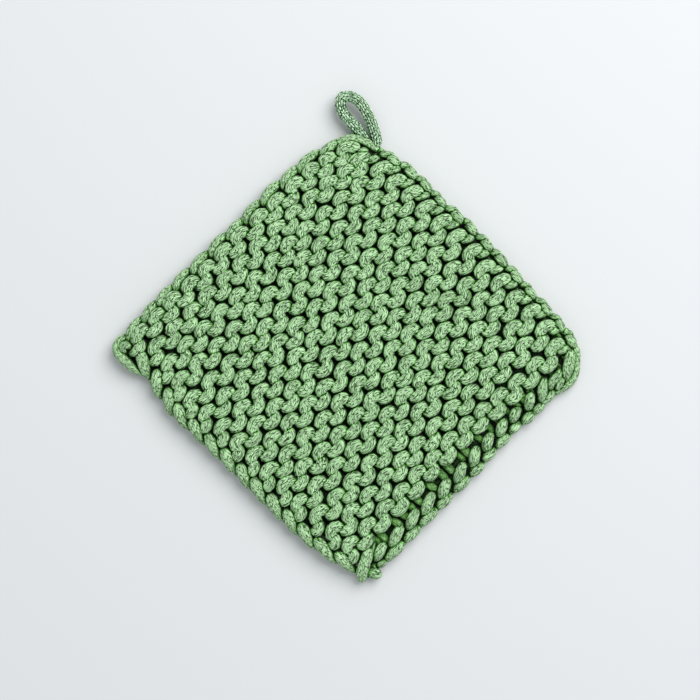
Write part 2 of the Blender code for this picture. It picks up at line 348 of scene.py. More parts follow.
def makeCords(name, paths, material, changes=None):
    # paths: lists of (x, y, z, thickness), all in mm
    curve = bpy.data.curves.new(name + "Paths", "CURVE")
    curve.dimensions = "3D"
    for path in paths:
        spline = curve.splines.new("POLY")
        spline.points.add(len(path) - 1)
        for point, (x, y, z, thick) in zip(spline.points, path):
            point.co = (x * mm, y * mm, z * mm, 1.0)
            point.radius = thick / 2 * mm
    guide = bpy.data.objects.new(name + "Paths", curve)
    bpy.context.scene.collection.objects.link(guide)
    values = {label: metres(size) for label, size in {**cordBuild, **(changes or {})}.items()}
    giveTree(guide, cordAlongPath, {**values, "Seed": cordSeeds[name], "Cotton": material})
    depsgraph = bpy.context.evaluated_depsgraph_get()
    mesh = bpy.data.meshes.new_from_object(guide.evaluated_get(depsgraph))
    mesh.name = name
    bpy.data.objects.remove(guide, do_unlink=True)
    bpy.data.curves.remove(curve)
    piece = bpy.data.objects.new(name, mesh)
    bpy.context.scene.collection.objects.link(piece)
    length = sum(pathLength(path) for path in paths)
    triangles = sum(len(face.vertices) - 2 for face in mesh.polygons)
    print(f"{name}: {triangles} triangles, {length * mm:.2f} m of cord")
    return piece


# how much of the sky each point's neighbours hide from it, kept as an attribute from which the cotton
# paints shade between the cords
shelter = {
    "Rays": 24,
    "Reach": 7.0,  # mm
    "Lift": 0.08,  # mm off the surface where the rays start
}


def shelterTree():
    tree, calc, given = geometryTree("shelteredByCords", shelter, {
        "Cords": "NodeSocketObject", "Cotton": "NodeSocketMaterial",
    })
    cords = addNode(tree, "GeometryNodeObjectInfo", {"Object": given["Cords"]})
    first = addNode(tree, "GeometryNodeRepeatInput")
    last = addNode(tree, "GeometryNodeRepeatOutput")
    first.pair_with_output(last)
    tree.links.new(given["Rays"], first.inputs["Iterations"])
    tree.links.new(given["Geometry"], first.inputs["Geometry"])

    # this turn's direction: one of a ball of evenly spread ones, turned to the surface's outside
    turn = calc("ADD", first.outputs["Iteration"], 0.5)
    share = calc("DIVIDE", turn, given["Rays"])
    rise = calc("SUBTRACT", 1.0, calc("MULTIPLY", share, 2.0))
    level = calc("SQRT", calc("SUBTRACT", 1.0, calc("MULTIPLY", rise, rise)))
    angle = calc("MULTIPLY", turn, math.pi * (3.0 - math.sqrt(5.0)))  # the golden angle
    ray = placeNode(tree, calc("MULTIPLY", level, calc("COSINE", angle)),
                    calc("MULTIPLY", level, calc("SINE", angle)), rise)
    outward = addNode(tree, "GeometryNodeInputNormal").outputs[0]
    facing = addNode(tree, "ShaderNodeVectorMath", {0: ray, 1: outward},
                     operation="DOT_PRODUCT").outputs["Value"]

    place = addNode(tree, "GeometryNodeInputPosition").outputs[0]
    start = addNode(tree, "ShaderNodeVectorMath", {
        0: place, 1: scaleNode(tree, outward, given["Lift"]),
    }, operation="ADD")
    cast = addNode(tree, "GeometryNodeRaycast", {
        "Target Geometry": cords.outputs["Geometry"], "Source Position": start.outputs[0],
        "Ray Direction": scaleNode(tree, ray, calc("SIGN", facing)),
        "Ray Length": given["Reach"],
    }).outputs
    gone = calc("DIVIDE", cast["Hit Distance"], given["Reach"])
    near = calc("SUBTRACT", 1.0, calc("MULTIPLY", gone, gone))
    hidden = calc("MULTIPLY", near, cast["Is Hit"])
    part = calc("MULTIPLY", hidden, calc("ABSOLUTE", facing))
    part = calc("DIVIDE", calc("MULTIPLY", part, 2.0), given["Rays"])
    soFar = addNode(tree, "GeometryNodeInputNamedAttribute", {"Name": "sheltered"},
                    data_type="FLOAT")
    total = calc("ADD", soFar.outputs["Attribute"], part)
    kept = storeNode(tree, "sheltered", "FLOAT", first.outputs["Geometry"], total)
    tree.links.new(kept, last.inputs["Geometry"])
    endTree(tree, last.outputs["Geometry"], given["Cotton"])
    return tree


def joinedMesh(meshes):
    build = bmesh.new()
    for mesh in meshes:
        build.from_mesh(mesh)
    whole = bpy.data.meshes.new("everyCord")
    build.to_mesh(whole)
    build.free()
    return whole


def shelterPieces(cords):
    tree = shelterTree()
    every = bpy.data.objects.new("everyCord", joinedMesh([piece.data for piece in cords]))
    bpy.context.scene.collection.objects.link(every)
    values = {label: metres(size) for label, size in shelter.items()}
    for piece in cords:
        giveTree(piece, tree, {**values, "Cords": every, "Cotton": piece.data.materials[0]})
    depsgraph = bpy.context.evaluated_depsgraph_get()
    fresh = [bpy.data.meshes.new_from_object(piece.evaluated_get(depsgraph)) for piece in cords]
    for piece, mesh in zip(cords, fresh):
        piece.modifiers.clear()
        old = piece.data
        piece.data = mesh
        bpy.data.meshes.remove(old)
        mesh.name = piece.name
    whole = every.data
    bpy.data.objects.remove(every, do_unlink=True)
    bpy.data.meshes.remove(whole)
    print("cords shaded where their neighbours shelter them")


# the square: its gauge, and where its limp edges really run
square = {
    "stitches": 13,  # whole stitches in each ridge
    "ridges": 15,
    "stitchPitch": 14.5,
    "ridgePitch": 12.36,
    "courseRise": 6.18,  # from a ridge's lower course up to its upper one
    "lineDrop": 6.6,  # from a ridge's heads down to the lower course's own line
    "firstColumn": -92.05,  # x of the leftmost sinker
    "topRidge": 95.2,  # y of the uppermost ridge's heads
    "middle": 6.5,  # height of the fabric's middle
    "halfWidth": 101.0,  # of the plain square, before its edges wander
    "halfLength": 102.5,
    "edgeHold": 6,  # the higher, the nearer to the edge its wandering ends
    "groups": 3,  # pieces that the ridges are shared among
    "seed": 11,
    "leftEdge": (  # y, x
        (-102.5, -85.0), (-94.0, -88.8), (-76.0, -93.3), (-57.0, -97.3), (-6.0, -99.3),
        (30.0, -101.0), (45.0, -102.0), (59.0, -99.6), (73.0, -97.2), (82.0, -101.2),
        (92.0, -102.0), (102.5, -97.5),
    ),
    "rightEdge": (
        (-102.5, 89.0), (-91.0, 97.0), (-67.0, 101.0), (-45.0, 101.6), (0.0, 101.0),
        (37.0, 100.0), (61.0, 98.4), (79.0, 94.6), (90.0, 91.0), (102.5, 88.5),
    ),
    "lowerEdge": (  # x, y
        (-101.0, -101.5), (-92.0, -105.5), (-80.0, -104.8), (-62.0, -103.3), (-26.0, -101.7),
        (50.0, -100.0), (80.0, -101.5), (92.0, -100.5), (101.0, -94.5),
    ),
    "upperEdge": (
        (-101.0, 96.6), (-88.0, 99.4), (-66.0, 101.2), (0.0, 101.8), (50.0, 101.2),
        (66.0, 98.8), (82.0, 94.6), (92.0, 90.0), (101.0, 85.0),
    ),
    "sway": (  # x, rise of the ridges near the cast-on edge, and near the bind-off edge
        (-101.0, 0.8, 0.6), (-82.0, 0.8, 1.0), (-50.0, 0.4, 1.5), (-18.0, 0.6, 2.9),
        (14.0, 1.4, 4.4), (46.0, 0.5, 3.3), (80.0, -0.3, 1.2), (101.0, -2.0, -1.0),
    ),
    "swayHold": 12,  # the higher, the nearer to those two edges the sway ends
}


def readTable(table, place, column=1):
    # the value at a place, eased from one row to the next
    if place <= table[0][0]:
        return table[0][column]
    for low, high in zip(table, table[1:]):
        if place <= high[0]:
            part = (place - low[0]) / (high[0] - low[0])
            part = part * part * (3.0 - 2.0 * part)
            return low[column] + (high[column] - low[column]) * part
    return table[-1][column]


def settle(x, y):
    # from the plain square to where the hand-knitted one really lies
    hold = square["edgeHold"]
    left = (0.5 - 0.5 * x / square["halfWidth"]) ** hold
    right = (0.5 + 0.5 * x / square["halfWidth"]) ** hold
    lower = (0.5 - 0.5 * y / square["halfLength"]) ** hold
    upper = (0.5 + 0.5 * y / square["halfLength"]) ** hold
    moveX = left * (readTable(square["leftEdge"], y) + square["halfWidth"])
    moveX += right * (readTable(square["rightEdge"], y) - square["halfWidth"])
    moveY = lower * (readTable(square["lowerEdge"], x) + square["halfLength"])
    moveY += upper * (readTable(square["upperEdge"], x) - square["halfLength"])
    height = 0.5 + 0.5 * y / square["halfLength"]
    sway, fade = square["sway"], square["swayHold"]
    rise = height * readTable(sway, x, 1) + (1.0 - height) * readTable(sway, x, 2)
    rise *= (1.0 - height ** fade) * (1.0 - (1.0 - height) ** fade)
    return x + moveX, y + moveY + rise


# one course of knitting
stitch = {
    # half an arc, from its crossing to its shoulder: side, rise from the course's line, out of the
    # fabric's middle, thickness. An open end runs on into its neighbour, a tucked one dives sooner
    "head": {
        "open": ((3.62, 0.0, 0.0, 4.6), (3.62, 1.7, 1.9, 5.9), (3.50, 3.3, 3.1, 6.8),
                 (2.90, 5.1, 3.6, 7.0)),
        "tucked": ((3.62, 0.0, 0.0, 4.6), (3.85, 3.7, 0.3, 5.0), (3.85, 5.0, 2.4, 6.2),
                   (2.70, 5.8, 3.5, 6.8)),
        "crest": (0.0, 6.4, 3.8, 6.6),
    },
    "sinker": {
        "open": ((3.62, 0.0, 0.0, 4.6), (3.55, 2.4, 2.2, 5.8), (3.40, 4.2, 3.2, 6.6),
                 (2.80, 5.9, 3.5, 6.8)),
        "tucked": ((3.62, 0.0, 0.0, 4.6), (3.75, 4.2, 0.3, 5.0), (3.75, 5.6, 2.5, 6.1),
                   (2.60, 6.4, 3.4, 6.6)),
        "crest": (0.0, 6.9, 3.7, 6.4),
    },
    # least and most of a tuck, at an arc's left and right end
    "tuck": {"head": ((0.1, 0.7), (0.55, 1.0)), "sinker": ((0.55, 1.0), (0.1, 0.7))},
    "lastDrop": (  # x, how far the last ridge hangs down
        (0.0, 0.0), (30.0, -0.7), (44.0, -1.4), (62.0, -1.5), (76.0, 0.0),
    ),
    "lastSinker": (  # short, and gone beneath the side edge
        (-6.4, 2.4, -0.8, 4.4), (-5.6, 4.0, 1.6, 5.2), (-3.7, 5.1, 2.7, 5.6),
        (-1.8, 5.9, 1.8, 5.2), (-0.6, 6.4, -1.0, 4.4),
    ),
    # the outermost loops at the back, caught up in the two ends: share of rise, of depth, of thickness
    "castOnBack": (0.5, 1.0, 1.0),
    "bindOffBack": (0.85, 1.3, 0.80),
    "firstSinker": ((-3.4, 3.8, -1.6, 4.2), (-2.4, 5.1, 1.0, 5.0), (-1.0, 6.3, 2.8, 5.8)),
    "sinkerFrom": 4,  # points of a whole arc that the first one at the left edge leaves out
    "sinkerTo": 5,  # points of it that the last one keeps
    "pulled": {  # course, arc: how far the loop's pull has drawn it
        (2, 25): (-3.2, 2.6), (2, 26): (-2.0, 1.6), (3, 24): (-1.8, 0.8), (3, 26): (-2.4, 2.2),
        (0, 25): (-0.6, 1.0),
    },
    "fullness": 1.09,  # share of the thicknesses given above
    "freeFrom": 3.8,  # rise above which an arc stands unevenly, for its crossings stay put
    "shift": 0.4,  # how unevenly the stitches stand, along the ridge
    "rise": 0.35,  # and across it
    "swell": 0.04,  # share of size and of thickness
    "lean": 0.07,  # of its rise
    "drift": (  # how far each ridge has slid along itself, between the two ends of driftAt
        (3.4, -0.3, -3.2, -3.0, -6.0), (5.6, 3.4, 0.5, -1.5, -3.5),
        (1.6, 0.8, -0.6, -3.0, -4.1), (0.5, 0.5, -0.9, -2.8, -4.0),
        (-0.5, -0.3, -0.3, -2.1, -2.9), (-0.9, -0.7, -1.2, -1.6, -2.7),
        (0.2, 0.6, 0.4, -0.3, -2.2), (0.0, 0.7, 0.4, -0.3, -1.5),
        (1.2, 0.6, 0.3, 0.5, -0.5), (1.2, 1.5, 0.4, 0.2, -2.0),
        (2.1, 2.3, 1.4, 0.2, -1.3), (0.8, 2.6, 1.2, 0.3, -1.3),
        (4.0, 3.7, 1.7, 0.7, 0.3), (2.8, 4.6, 1.8, 0.7, -0.4),
        (2.8, 5.4, 2.6, -2.6, -3.4),
    ),
    "driftAt": (-110.0, -80.0, -48.0, 0.0, 52.0, 80.0, 110.0),  # x; its ends stay put
}


def ridgeDrift(ridge, x):
    shifts = (0.0, *stitch["drift"][ridge], 0.0)
    return readTable(tuple(zip(stitch["driftAt"], shifts)), x)


def arcPoints(kind, rng):
    # one whole arc from its left crossing to just before its right one, a little uneven
    dx = rng.uniform(-1, 1) * stitch["shift"]
    dy = rng.uniform(-1, 1) * stitch["rise"]
    size = 1.0 + rng.uniform(-1, 1) * stitch["swell"]
    fat = stitch["fullness"] + rng.uniform(-1, 1) * stitch["swell"]
    lean = rng.uniform(-1, 1) * stitch["lean"]
    shape = stitch[kind]
    rows = []
    for mirror, (least, most) in zip((-1, 1), stitch["tuck"][kind]):
        tuck = rng.uniform(least, most)
        half = []
        for loose, tight in zip(shape["open"], shape["tucked"]):
            side, rise, out, thick = (a + (b - a) * tuck for a, b in zip(loose, tight))
            half.append((mirror * side, rise, out, thick))
        rows.append(half)
    arc = rows[0] + [shape["crest"]] + rows[1][:0:-1]
    points = []
    for side, rise, out, thick in arc:
        free = min(1.0, rise / stitch["freeFrom"])
        grow = 1 + (size - 1) * free
        x = side * grow + (dx + lean * rise) * free
        points.append((x, rise * grow + dy * free, out, thick * fat))
    return points


def coursePath(course, rng):
    # from left to right: even arcs are sinkers, odd ones heads, and each ridge is two courses
    ridge = course // 2
    headsShow = course % 2 == 0
    line = square["topRidge"] - ridge * square["ridgePitch"] - square["lineDrop"]
    if not headsShow:
        line += square["courseRise"]
    arcs = 2 * square["stitches"]
    path = []
    for number in range(arcs + 1):
        isHead = number % 2 == 1
        centre = square["firstColumn"] + number * square["stitchPitch"] / 2
        up = 1 if isHead else -1
        towards = 1 if isHead == headsShow else -1
        points = arcPoints("head" if isHead else "sinker", rng)
        if number == 0:
            points = points[stitch["sinkerFrom"]:]
            if not headsShow:
                points = [*stitch["firstSinker"], *points]
        if number == arcs:
            points = points[:stitch["sinkerTo"]] if headsShow else stitch["lastSinker"]
        caught = (1.0, 1.0, 1.0)
        if course == 1 and isHead:
            caught = stitch["castOnBack"]
        elif course == 2 * square["ridges"] - 2 and not isHead:
            caught = stitch["bindOffBack"]
        pulled = stitch["pulled"].get((course, number), (0.0, 0.0))
        for x, rise, out, thick in points:
            rise *= caught[0]
            out *= caught[1]
            thick *= caught[2]
            plain = centre + x
            height = line + up * rise
            if ridge == square["ridges"] - 1:
                height += readTable(stitch["lastDrop"], plain)
            place = settle(plain + ridgeDrift(ridge, plain), height)
            path.append((place[0] + pulled[0], place[1] + pulled[1],
                         square["middle"] + towards * out, thick))
    return path


# the edges: where their links meet, how far a link slants and stands out at a place, and its
# rows: in from the rim, along the link (1 reaches the next one), height, thickness
rimDepth = 3.0  # a link slants about this line, in from the rim
edges = {
    "leftEdge": {
        "upright": True,  # runs up the fabric, not along the ridges
        "joints": (-91.5, -79.5, -64.5, -52.0, -39.5, -26.5, -13.5, -1.5, 11.0, 23.5, 36.5,
                   48.5, 60.0, 71.5, 81.5),
        "slant": ((-75.0, 0.8), (-60.0, 1.0), (40.0, 1.0), (55.0, 1.4), (62.0, 1.4), (71.0, 2.3)),
        "out": ((60.0, 0.0), (71.0, -1.5)),
        "uneven": 0.35,
        "swell": 0.04,
        "rows": (
            (2.5, -0.20, 3.6, 4.0), (1.9, -0.08, 5.6, 4.6), (2.2, 0.14, 7.6, 5.7),
            (3.5, 0.40, 9.2, 6.8), (4.9, 0.65, 9.7, 7.2), (5.9, 0.85, 9.0, 6.2),
            (6.3, 0.98, 5.4, 4.4),
            (4.6, 1.10, 3.6, 4.6), (3.2, 1.00, 3.4, 5.2), (2.9, 0.60, 3.4, 5.6),
            (3.3, 0.22, 3.4, 5.2), (5.4, 0.10, 3.6, 4.8), (7.2, 0.40, 3.4, 4.8),
            (5.4, 0.66, 3.0, 4.4),
        ),
    },
    "rightEdge": {
        "upright": True,
        "joints": (-88.0, -76.0, -64.0, -51.0, -38.5, -26.0, -14.0, -1.5, 11.0, 23.0, 35.5,
                   47.5, 60.0, 71.0),
        "rows": (
            (4.4, 0.12, 4.2, 4.0), (3.6, 0.22, 7.2, 5.0), (3.2, 0.42, 8.7, 5.9),
            (3.5, 0.60, 7.2, 5.0), (4.2, 0.68, 4.2, 4.0),
            (2.0, 0.58, 4.2, 3.8), (1.7, 0.72, 6.0, 4.2), (2.5, 0.88, 6.9, 4.4),
            (3.8, 1.02, 6.6, 4.2), (4.8, 1.10, 4.4, 3.8),
            (3.6, 0.95, 2.4, 4.2), (3.2, 0.60, 2.4, 4.4), (3.2, 0.30, 2.4, 4.4),
            (3.6, 0.05, 2.4, 4.2), (5.2, 0.30, 2.4, 4.4), (5.8, 0.70, 2.4, 4.4),
            (4.8, 1.00, 3.0, 4.2),
        ),
        "slant": ((0.0, 1.0),),
        "out": ((36.0, 0.0), (48.0, -1.0), (60.0, -1.2), (71.0, -1.6)),
        "uneven": 0.8,
        "swell": 0.09,
    },
    "upperEdge": {  # cast on: the cord wraps round the edge
        "upright": False,
        "joints": (-90.0, -76.0, -63.0, -50.0, -36.0, -22.0, -7.5, 6.0, 21.0, 36.0, 50.0,
                   65.0, 79.0),
        "rows": (
            (9.6, 0.04, 4.6, 4.2), (7.2, 0.02, 6.4, 5.0), (4.8, 0.10, 7.8, 5.8),
            (3.3, 0.32, 8.4, 6.4), (2.7, 0.58, 8.2, 6.4), (2.6, 0.82, 7.0, 5.7),
            (3.2, 1.02, 5.0, 4.5), (4.2, 1.08, 3.6, 4.2), (3.2, 0.85, 3.4, 4.8),
            (3.6, 0.55, 3.4, 4.8), (8.0, 0.70, 3.0, 4.4), (9.8, 0.92, 3.4, 4.2),
        ),
        "slant": ((0.0, 1.0),),
        "out": ((-90.0, 0.2), (-12.0, 0.2), (8.0, 1.2), (50.0, 1.2), (64.0, 0.6), (75.0, 0.2)),
        "uneven": 0.5,
        "swell": 0.06,
    },
}


def rimPoint(name, along):
    across = readTable(square[name], along)
    return Vector((across, along)) if edges[name]["upright"] else Vector((along, across))


def edgePath(name, rng):
    edge = edges[name]
    path = []
    for start, end in zip(edge["joints"], edge["joints"][1:]):
        here = rimPoint(name, start)
        run = rimPoint(name, end) - here
        inward = Vector((-run.y, run.x)).normalized()
        if inward.dot(here) > 0:
            inward = -inward
        shake = edge["uneven"]
        push = rng.uniform(-1, 1) * shake
        slide = rng.uniform(-1, 1) * shake
        fat = 1.0 + rng.uniform(-1, 1) * edge["swell"]
        slant = readTable(edge["slant"], start)
        push -= readTable(edge["out"], start)
        for depth, part, z, thick in edge["rows"]:
            depth = rimDepth + (depth - rimDepth) * slant
            spot = here + run * part + inward * (depth + push) + run.normalized() * slide
            path.append((spot.x, spot.y, z, thick * fat))
    return path


# the bind-off chain: each stitch shows a slanting pill and, outside it, a bump at the rim
bindOff = {
    "pills": (  # x, y where the pill starts, x, y where it ends
        (-71.4, -95.2, -66.0, -93.4), (-59.4, -95.5, -51.8, -92.9), (-45.4, -95.1, -38.8, -92.3),
        (-33.4, -95.2, -25.6, -91.7), (-19.4, -94.8, -13.8, -92.3), (-6.6, -94.8, -0.8, -91.8),
        (6.4, -94.2, 11.4, -90.3), (17.8, -92.9, 22.6, -89.9), (29.4, -92.2, 34.4, -89.2),
        (40.2, -91.3, 44.4, -89.7), (52.0, -92.4, 56.2, -89.1), (61.0, -94.0, 67.2, -88.3),
    ),
    "bumps": (  # x from, x to, y of the middle, thickness
        (-73.0, -72.0, -100.2, 4.8), (-66.0, -58.0, -100.1, 6.4), (-51.0, -45.0, -99.7, 6.4),
        (-38.0, -31.0, -99.2, 6.4), (-24.0, -19.0, -99.0, 6.2), (-10.0, -5.0, -98.8, 6.2),
        (3.0, 7.0, -98.6, 6.0), (13.9, 17.6, -97.3, 6.2), (25.0, 29.0, -96.8, 6.2),
        (35.9, 38.6, -96.0, 6.0), (45.8, 48.2, -97.2, 6.6), (53.6, 56.8, -97.4, 5.8),
        (61.2, 65.8, -96.4, 6.0),
    ),
    "pillRows": (  # share of the pill's run in x, more x, share in y, more y, height, thickness
        (0.0, -2.0, 0.0, -0.6, 4.6, 4.55), (0.0, -0.4, 0.0, -0.2, 7.2, 5.59),
        (0.5, 0.0, 0.5, 0.0, 9.2, 6.5), (1.0, 0.2, 1.0, 0.0, 8.6, 5.85),
        (1.0, 2.0, 1.0, -0.2, 5.0, 4.68), (1.0, 1.0, 1.0, 1.0, 3.0, 5.0),
        (0.0, 0.0, 1.0, 1.4, 3.0, 5.2), (0.0, -1.6, 0.0, 0.6, 3.0, 5.2),
        (0.5, 0.0, 0.0, 0.4, 3.0, 5.2), (1.0, 0.0, 0.0, -0.6, 3.0, 5.0),
    ),
    "bumpRows": (  # share of the bump's run in x, more x, more y, height, share of its thickness
        (0.0, -2.2, 0.6, 3.4, 0.80), (0.0, -0.4, 0.2, 6.0, 0.94), (0.5, 0.0, 0.0, 6.6, 1.0),
        (1.0, 0.4, 0.2, 6.0, 0.94), (1.0, 2.2, 0.8, 3.4, 0.80),
    ),
    "bumpEnd": (1.4, 3.0, 4.8),  # more y, height and thickness where it dives
    "stub": (  # down from the last ridge, height, thickness of a loop that climbs into the chain
        (-3.0, 3.6, 3.4), (-7.0, 5.0, 3.6), (-10.0, 6.0, 4.1), (-12.4, 6.4, 4.1),
        (-14.6, 5.4, 3.8),
    ),
    "stubSides": (-2.6, 2.2),  # its two strands, from the stitch's middle
    "stubLean": (-0.30, 0.16),  # how far they slant, of their length
    "stubSwell": (0.85, 1.2),  # share of their height and thickness
    "backStrands": ((-9.8, 4.4, 3.8), (-12.8, 4.4, 3.8)),  # down from the ridge, height, thickness
    "backFrom": -82.0,
    "backTo": 92.0,
    "backStep": 4.0,
}


def bindOffPath():
    # over each pill, back beneath it in two strands, then along the bump at the rim
    path = []
    moreY, under, thin = bindOff["bumpEnd"]
    pills = (None, *bindOff["pills"])
    for pill, (fromX, toX, y, thick) in zip(pills, bindOff["bumps"]):
        if pill:
            startX, startY, endX, endY = pill
            for shareX, dx, shareY, dy, z, width in bindOff["pillRows"]:
                path.append((startX + (endX - startX) * shareX + dx,
                             startY + (endY - startY) * shareY + dy, z, width))
        for share, dx, dy, z, width in bindOff["bumpRows"]:
            path.append((fromX + (toX - fromX) * share + dx, y + dy, z, thick * width))
        path.append((toX, y + moreY, under, thin))
    return path


# the strands that turn the four corners, each as its own path: x, y, height, thickness
corners = {
    "upperLeft": (
        (  # the first stitch's long slack strand, round the corner and down
            (-88.6, 94.6, 4.6, 4.6), (-91.0, 97.0, 7.0, 5.0), (-95.0, 97.2, 7.8, 5.2),
            (-98.6, 94.6, 8.0, 5.8), (-99.4, 89.0, 8.0, 6.0), (-99.2, 83.6, 7.8, 5.8),
            (-98.2, 78.5, 6.6, 5.2), (-96.2, 74.5, 5.4, 4.6), (-93.0, 72.0, 4.2, 4.2),
        ),
        (
            (-86.0, 94.4, 3.2, 5.4), (-92.5, 95.8, 3.4, 5.8), (-97.4, 93.6, 3.2, 5.8),
            (-99.5, 87.0, 3.0, 5.4), (-98.6, 80.0, 3.0, 5.0), (-96.4, 75.0, 3.2, 4.6),
        ),
        (  # a small loop between it and the first ridge
            (-96.6, 90.0, 5.4, 4.0), (-95.8, 92.4, 8.6, 4.8), (-94.4, 93.8, 9.8, 5.0),
            (-92.6, 93.4, 9.8, 5.0), (-91.6, 91.4, 8.6, 4.6), (-91.4, 89.4, 5.6, 4.0),
        ),
    ),
    "lowerLeft": (
        (  # the last stitch before the bind-off lies long and slanting
            (-87.0, -98.8, 4.2, 5.0), (-85.8, -97.3, 7.0, 6.6), (-82.6, -94.9, 8.9, 7.4),
            (-78.6, -92.5, 9.2, 7.4), (-74.2, -90.4, 9.2, 6.9), (-70.4, -89.1, 8.0, 6.0),
            (-67.8, -88.6, 5.6, 5.0),
        ),
        (
            (-81.6, -96.8, 4.2, 5.0), (-80.4, -99.6, 5.8, 6.4), (-79.2, -102.2, 6.0, 6.8),
            (-78.2, -103.4, 3.8, 5.2),
        ),
        (
            (-85.6, -98.0, 3.2, 5.2), (-82.4, -98.6, 4.2, 6.0), (-78.4, -98.4, 4.6, 5.8),
            (-75.6, -98.2, 3.4, 5.6), (-70.0, -97.4, 3.0, 5.6), (-64.0, -97.0, 3.0, 5.0),
        ),
    ),
    "lowerRight": (
        (
            (78.0, -95.6, 5.4, 5.0), (80.4, -94.0, 8.0, 6.0), (83.4, -92.2, 9.4, 6.6),
            (86.4, -90.2, 9.6, 6.6), (89.0, -88.0, 9.0, 6.2), (90.8, -85.6, 6.6, 5.0),
        ),
        (
            (67.0, -96.4, 3.6, 5.0), (71.0, -97.4, 4.2, 5.6), (75.0, -98.6, 4.4, 5.8),
            (79.6, -98.8, 4.6, 5.8), (84.4, -97.0, 4.8, 5.8), (89.2, -92.8, 5.0, 5.8),
            (93.4, -88.0, 5.4, 5.8), (95.2, -82.6, 5.0, 5.2),
        ),
        (
            (68.0, -94.2, 5.4, 4.4), (69.2, -92.4, 8.0, 5.0), (72.2, -91.6, 9.2, 5.4),
            (75.6, -91.4, 9.2, 5.4), (78.0, -90.6, 7.8, 4.8), (79.2, -88.8, 5.6, 4.2),
        ),
        (
            (71.4, -96.6, 5.0, 4.6), (72.8, -95.2, 7.6, 5.4), (75.2, -94.6, 7.8, 5.2),
            (77.2, -93.0, 6.2, 4.4),
        ),
    ),
    "upperRight": (
        (  # the edge strand bends round the corner and runs down the side
            (71.0, 93.4, 5.0, 5.0), (75.4, 93.6, 7.4, 5.4), (80.0, 92.2, 8.4, 5.6),
            (84.4, 89.4, 8.6, 5.6), (87.6, 85.4, 8.4, 5.4), (89.4, 80.6, 7.6, 5.2),
            (90.4, 75.6, 6.0, 4.8),
        ),
        (
            (72.0, 92.6, 3.2, 5.2), (81.0, 91.2, 3.2, 5.6), (86.6, 86.2, 3.2, 5.6),
            (89.4, 79.6, 3.2, 5.4), (90.8, 73.5, 3.6, 5.2), (92.0, 67.0, 3.2, 4.8),
        ),
    ),
}


def bindOffLegs(rng):
    # the last course's loops climb out of the last ridge into the bind-off chain
    legs = []
    strands = []
    line = square["topRidge"] - (square["ridges"] - 1) * square["ridgePitch"]
    for number in range(square["stitches"]):
        middle = square["firstColumn"] + (number + 0.5) * square["stitchPitch"]
        for side in bindOff["stubSides"]:
            x = middle + side
            x += ridgeDrift(square["ridges"] - 1, x)
            lean = rng.uniform(*bindOff["stubLean"])
            swell = rng.uniform(*bindOff["stubSwell"])
            leg = []
            for down, z, thick in bindOff["stub"]:
                place = settle(x + lean * down, line + down)
                leg.append((*place, z * swell, thick * swell))
            legs.append(leg)
    for down, z, thick in bindOff["backStrands"]:
        strand = []
        x = bindOff["backFrom"]
        while x < bindOff["backTo"]:
            strand.append((*settle(x, line + down), z, thick))
            x += bindOff["backStep"]
        strands.append(strand)
    return legs, strands


# the hanging loop: a thin knitted tube
hangingLoop = {
    "route": (  # x, y, z of its middle
        (89.2, 83.5, 6.4), (90.0, 87.5, 6.6), (90.3, 93.0, 7.0), (90.3, 99.0, 7.4),
        (91.3, 106.2, 7.9), (95.9, 111.1, 8.3), (100.6, 107.3, 8.2), (101.9, 101.0, 7.8),
        (100.4, 93.8, 7.3), (98.0, 87.4, 6.9), (95.4, 81.8, 6.6), (91.8, 76.8, 6.4),
    ),
    "routeSteps": 12,  # points of the smooth route for each of these
    "wales": 6,  # columns of stitches round the tube
    "radius": 2.3,  # to the middle of its yarn
    "yarn": 1.45,
    "rowPitch": 2.25,
    "loopHeight": 1.5,  # of a row
    "overlap": 0.17,  # how far a loop spreads beneath its neighbours, of a stitch
    "crown": 0.42,  # how far its legs stand proud
    "steps": 8,  # points of the yarn for each stitch
    "core": 3.7,  # thickness of what fills the tube
    "knitBuild": {"Spacing": 0.5, "Sides": 7, "Wobble": 0.03},
    "coreBuild": {"Spacing": 1.5, "Sides": 10, "Wobble": 0.03},
    "unpressed": {"Half Thick": 12.0, "Flat From": 11.0},  # it may stand past the fabric
}


def smoothRoute(route, steps):
    # points of a smooth curve through the route's own
    places = [Vector(point) for point in route]
    places = [2 * places[0] - places[1]] + places + [2 * places[-1] - places[-2]]
    points = []
    for k in range(1, len(places) - 2):
        p0, p1, p2, p3 = places[k - 1:k + 3]
        for step in range(steps):
            t = step / steps
            points.append(0.5 * (2 * p1 + (p2 - p0) * t + (2 * p0 - 5 * p1 + 4 * p2 - p3) * t ** 2
                                 + (3 * p1 - p0 - 3 * p2 + p3) * t ** 3))
    points.append(places[-2])
    return points


def routeFrames(points):
    # distance along the route, place, and two directions across it that don't twist
    tangents = [(b - a).normalized() for a, b in zip(points, points[1:])]
    tangents.append(tangents[-1])
    across = Vector((0.0, 0.0, 1.0)).cross(tangents[0]).normalized()
    frames = []
    run = 0.0
    for k, (place, tangent) in enumerate(zip(points, tangents)):
        if k:
            run += (place - points[k - 1]).length
        across = (across - tangent * across.dot(tangent)).normalized()
        frames.append((run, place, across, tangent.cross(across)))
    return frames


def frameAt(frames, run):
    for low, high in zip(frames, frames[1:]):
        if run <= high[0]:
            break
    part = (run - low[0]) / (high[0] - low[0])
    return [low[k].lerp(high[k], part) for k in (1, 2, 3)]


